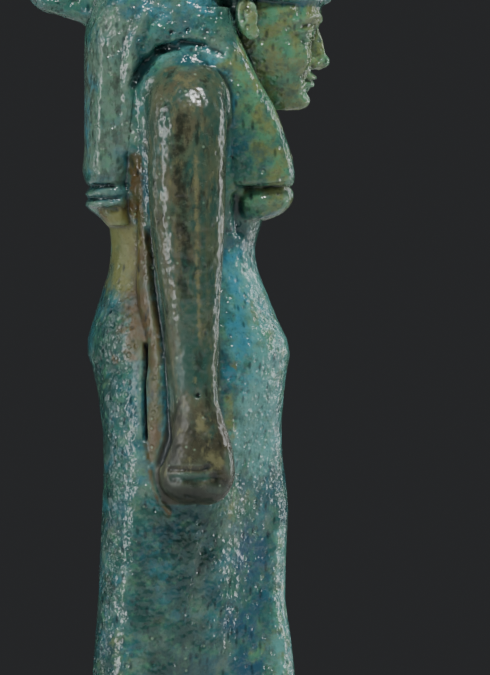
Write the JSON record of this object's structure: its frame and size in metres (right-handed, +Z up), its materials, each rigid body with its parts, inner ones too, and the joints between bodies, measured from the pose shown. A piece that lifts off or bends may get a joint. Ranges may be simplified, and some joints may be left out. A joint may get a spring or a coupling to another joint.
{
  "type": "striding goddess amulet",
  "caption": "Small glazed faience amulet of a striding goddess in a long wig and sheath dress, arms at the sides, on a low plinth, with a suspension loop behind the head.",
  "frame": {"origin": "middle of the plinth's flat underside", "axes": "+X is the way the figure faces, +Y is its left side, +Z is up"},
  "size_m": [0.0278, 0.0182, 0.08],
  "materials": {
    "turquoise_glaze": "glossy, uneven turquoise alkaline glaze on faience, pitted, olive on the arms, ochre stained beside them, dark blue where it pooled"
  },
  "bodies": {
    "root": {"goddess_amulet": "turquoise_glaze"}
  },
  "joints": []
}
